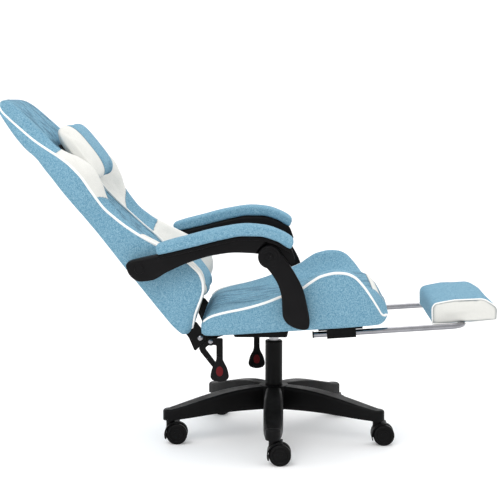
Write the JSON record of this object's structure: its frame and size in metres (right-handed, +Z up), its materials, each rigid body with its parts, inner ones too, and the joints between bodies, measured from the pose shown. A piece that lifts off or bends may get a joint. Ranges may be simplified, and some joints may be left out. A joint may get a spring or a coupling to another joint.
{
  "type": "gaming chair",
  "caption": "High-back reclining swivel chair with bucket cushions, linked armrests, neck and waist pillows, gas column, star base on casters and a slide-out footrest.",
  "frame": {"origin": "on the floor, on the gas column's axis", "axes": "+X forward towards the footrest, +Y the sitter's left, +Z up"},
  "size_m": [1.383, 0.655, 0.9754],
  "materials": {
    "base_nylon": "satin",
    "wheel_nylon": "satin",
    "plated_steel": "satin",
    "black_steel": "satin",
    "chrome_tube": "polished",
    "rod_steel": "satin",
    "black_plastic": "satin",
    "blue_fabric": "matte",
    "white_leather": "satin",
    "black_cloth": "matte",
    "board_wood": "matte"
  },
  "bodies": {
    "base": {"star_base": "base_nylon", "column_tube": "black_steel", "guide_bush": "black_plastic", "thrust_bearing": "plated_steel"},
    "spindle": {"piston_rod": "rod_steel"},
    "seat": {"gas_cylinder": "rod_steel", "mechanism_plate": "black_steel", "mechanism_bolts": "plated_steel", "height_lever_pin": "plated_steel", "seat_frame": "black_steel", "seat_cushion": "blue_fabric", "seat_cover": "black_cloth", "hinge_pins": "chrome_tube", "lever_pins": "chrome_tube", "seat_hinge_plate_left": "black_steel", "seat_hinge_plate_right": "black_steel", "post_studs": "plated_steel", "footrest_rail_left": "black_steel", "footrest_rail_right": "black_steel"},
    "valve": {"valve_button": "rod_steel"},
    "height_lever": {"height_lever_rod": "black_steel", "height_lever_paddle": "black_plastic"},
    "recline_lever": {"recline_lever": "black_steel", "recline_lever_paddle": "black_plastic"},
    "back": {"back_frame": "black_steel", "back_cushion": "blue_fabric", "lumbar_pillow": "blue_fabric", "headrest_pillow": "blue_fabric", "headrest_strap": "black_cloth", "arm_rear_studs": "plated_steel", "back_hinge_plate_left": "black_steel", "back_hinge_plate_right": "black_steel"},
    "arm_left": {"arm_link_left": "black_plastic", "arm_pad_left": "blue_fabric", "knuckle_pin_left": "black_plastic"},
    "arm_right": {"arm_link_right": "black_plastic", "arm_pad_right": "blue_fabric", "knuckle_pin_right": "black_plastic"},
    "post_left": {"arm_post_left": "black_plastic"},
    "post_right": {"arm_post_right": "black_plastic"},
    "footrest_slider": {"footrest_bar": "chrome_tube", "bar_stops": "black_plastic"},
    "footrest": {"footrest_board": "board_wood", "footrest_pad": "blue_fabric", "footrest_clips": "black_plastic"},
    "caster_1": {"caster_1_hood": "base_nylon", "caster_1_pins": "plated_steel"},
    "wheels_1": {"caster_1_wheels": "wheel_nylon"},
    "caster_2": {"caster_2_hood": "base_nylon", "caster_2_pins": "plated_steel"},
    "wheels_2": {"caster_2_wheels": "wheel_nylon"},
    "caster_3": {"caster_3_hood": "base_nylon", "caster_3_pins": "plated_steel"},
    "wheels_3": {"caster_3_wheels": "wheel_nylon"},
    "caster_4": {"caster_4_hood": "base_nylon", "caster_4_pins": "plated_steel"},
    "wheels_4": {"caster_4_wheels": "wheel_nylon"},
    "caster_5": {"caster_5_hood": "base_nylon", "caster_5_pins": "plated_steel"},
    "wheels_5": {"caster_5_wheels": "wheel_nylon"}
  },
  "joints": [
    {"name": "column_swivel", "type": "hinge", "parent": "base", "child": "spindle", "pos_m": [0, 0, 0.2], "axis": [0, 0, 1], "continuous": true},
    {"name": "seat_lift", "type": "slide", "parent": "spindle", "child": "seat", "axis": [0, 0, 1], "range_m": [0, 0.08]},
    {"name": "back_recline", "type": "hinge", "parent": "seat", "child": "back", "pos_m": [-0.2014, 0, 0.3267], "axis": [0, 1, 0], "range_deg": [-10.5, 25]},
    {"name": "recline_lever_pull", "type": "hinge", "parent": "seat", "child": "recline_lever", "pos_m": [-0.1728, -0.215, 0.3177], "axis": [0, -1, 0], "range_deg": [0, 20], "stiffness_Nm_per_rad": 2, "springref_deg": -20.05},
    {"name": "height_lever_lift", "type": "hinge", "parent": "seat", "child": "height_lever", "pos_m": [-0.054, 0.052, 0.3125], "axis": [1, 0, 0], "range_deg": [0, 4], "stiffness_Nm_per_rad": 6, "springref_deg": -5.73},
    {"name": "valve_press", "type": "slide", "parent": "seat", "child": "valve", "axis": [0, 0, -1], "range_m": [0, 0.0046]},
    {"name": "footrest_stow", "type": "slide", "parent": "seat", "child": "footrest_slider", "axis": [-0.9978, 0, -0.0663], "range_m": [0, 0.24]},
    {"name": "footrest_flip", "type": "hinge", "parent": "footrest_slider", "child": "footrest", "pos_m": [0.52643, 0, 0.36142], "axis": [0, 1, 0], "range_deg": [0, 180]},
    {"name": "post_left_turn", "type": "hinge", "parent": "seat", "child": "post_left", "pos_m": [0.0644, 0.258, 0.3968], "axis": [0, 1, 0], "range_deg": [-13.8, 32.8]},
    {"name": "arm_left_turn", "type": "hinge", "parent": "post_left", "child": "arm_left", "pos_m": [-0.0103, 0.258, 0.5637], "axis": [0, 1, 0], "range_deg": [-27.3, 11.5]},
    {"name": "post_right_turn", "type": "hinge", "parent": "seat", "child": "post_right", "pos_m": [0.0644, -0.258, 0.3968], "axis": [0, 1, 0], "range_deg": [-13.8, 32.8]},
    {"name": "arm_right_turn", "type": "hinge", "parent": "post_right", "child": "arm_right", "pos_m": [-0.0103, -0.258, 0.5637], "axis": [0, 1, 0], "range_deg": [-27.3, 11.5]},
    {"name": "caster_1_swivel", "type": "hinge", "parent": "base", "child": "caster_1", "pos_m": [0, -0.31, 0.07], "axis": [0, 0, 1], "continuous": true},
    {"name": "wheels_1_roll", "type": "hinge", "parent": "caster_1", "child": "wheels_1", "pos_m": [0.019, -0.31, 0.03], "axis": [0, 1, 0], "continuous": true},
    {"name": "caster_2_swivel", "type": "hinge", "parent": "base", "child": "caster_2", "pos_m": [0.29483, -0.0958, 0.07], "axis": [0, 0, 1], "continuous": true},
    {"name": "wheels_2_roll", "type": "hinge", "parent": "caster_2", "child": "wheels_2", "pos_m": [0.31383, -0.0958, 0.03], "axis": [0, 1, 0], "continuous": true},
    {"name": "caster_3_swivel", "type": "hinge", "parent": "base", "child": "caster_3", "pos_m": [0.18221, 0.25079, 0.07], "axis": [0, 0, 1], "continuous": true},
    {"name": "wheels_3_roll", "type": "hinge", "parent": "caster_3", "child": "wheels_3", "pos_m": [0.20121, 0.25079, 0.03], "axis": [0, 1, 0], "continuous": true},
    {"name": "caster_4_swivel", "type": "hinge", "parent": "base", "child": "caster_4", "pos_m": [-0.18221, 0.25079, 0.07], "axis": [0, 0, 1], "continuous": true},
    {"name": "wheels_4_roll", "type": "hinge", "parent": "caster_4", "child": "wheels_4", "pos_m": [-0.16321, 0.25079, 0.03], "axis": [0, 1, 0], "continuous": true},
    {"name": "caster_5_swivel", "type": "hinge", "parent": "base", "child": "caster_5", "pos_m": [-0.29483, -0.0958, 0.07], "axis": [0, 0, 1], "continuous": true},
    {"name": "wheels_5_roll", "type": "hinge", "parent": "caster_5", "child": "wheels_5", "pos_m": [-0.27583, -0.0958, 0.03], "axis": [0, 1, 0], "continuous": true}
  ],
  "couplings": [
    {"joint": "valve_press", "follows": "height_lever_lift", "m_per_rad": 0.0625},
    {"joint": "footrest_flip", "follows": "footrest_stow", "rad_per_m": 13.09},
    {"joint": "post_left_turn", "follows": "back_recline", "ratio": 1.31},
    {"joint": "arm_left_turn", "follows": "back_recline", "ratio": -1.0894},
    {"joint": "post_right_turn", "follows": "back_recline", "ratio": 1.31},
    {"joint": "arm_right_turn", "follows": "back_recline", "ratio": -1.0894}
  ]
}
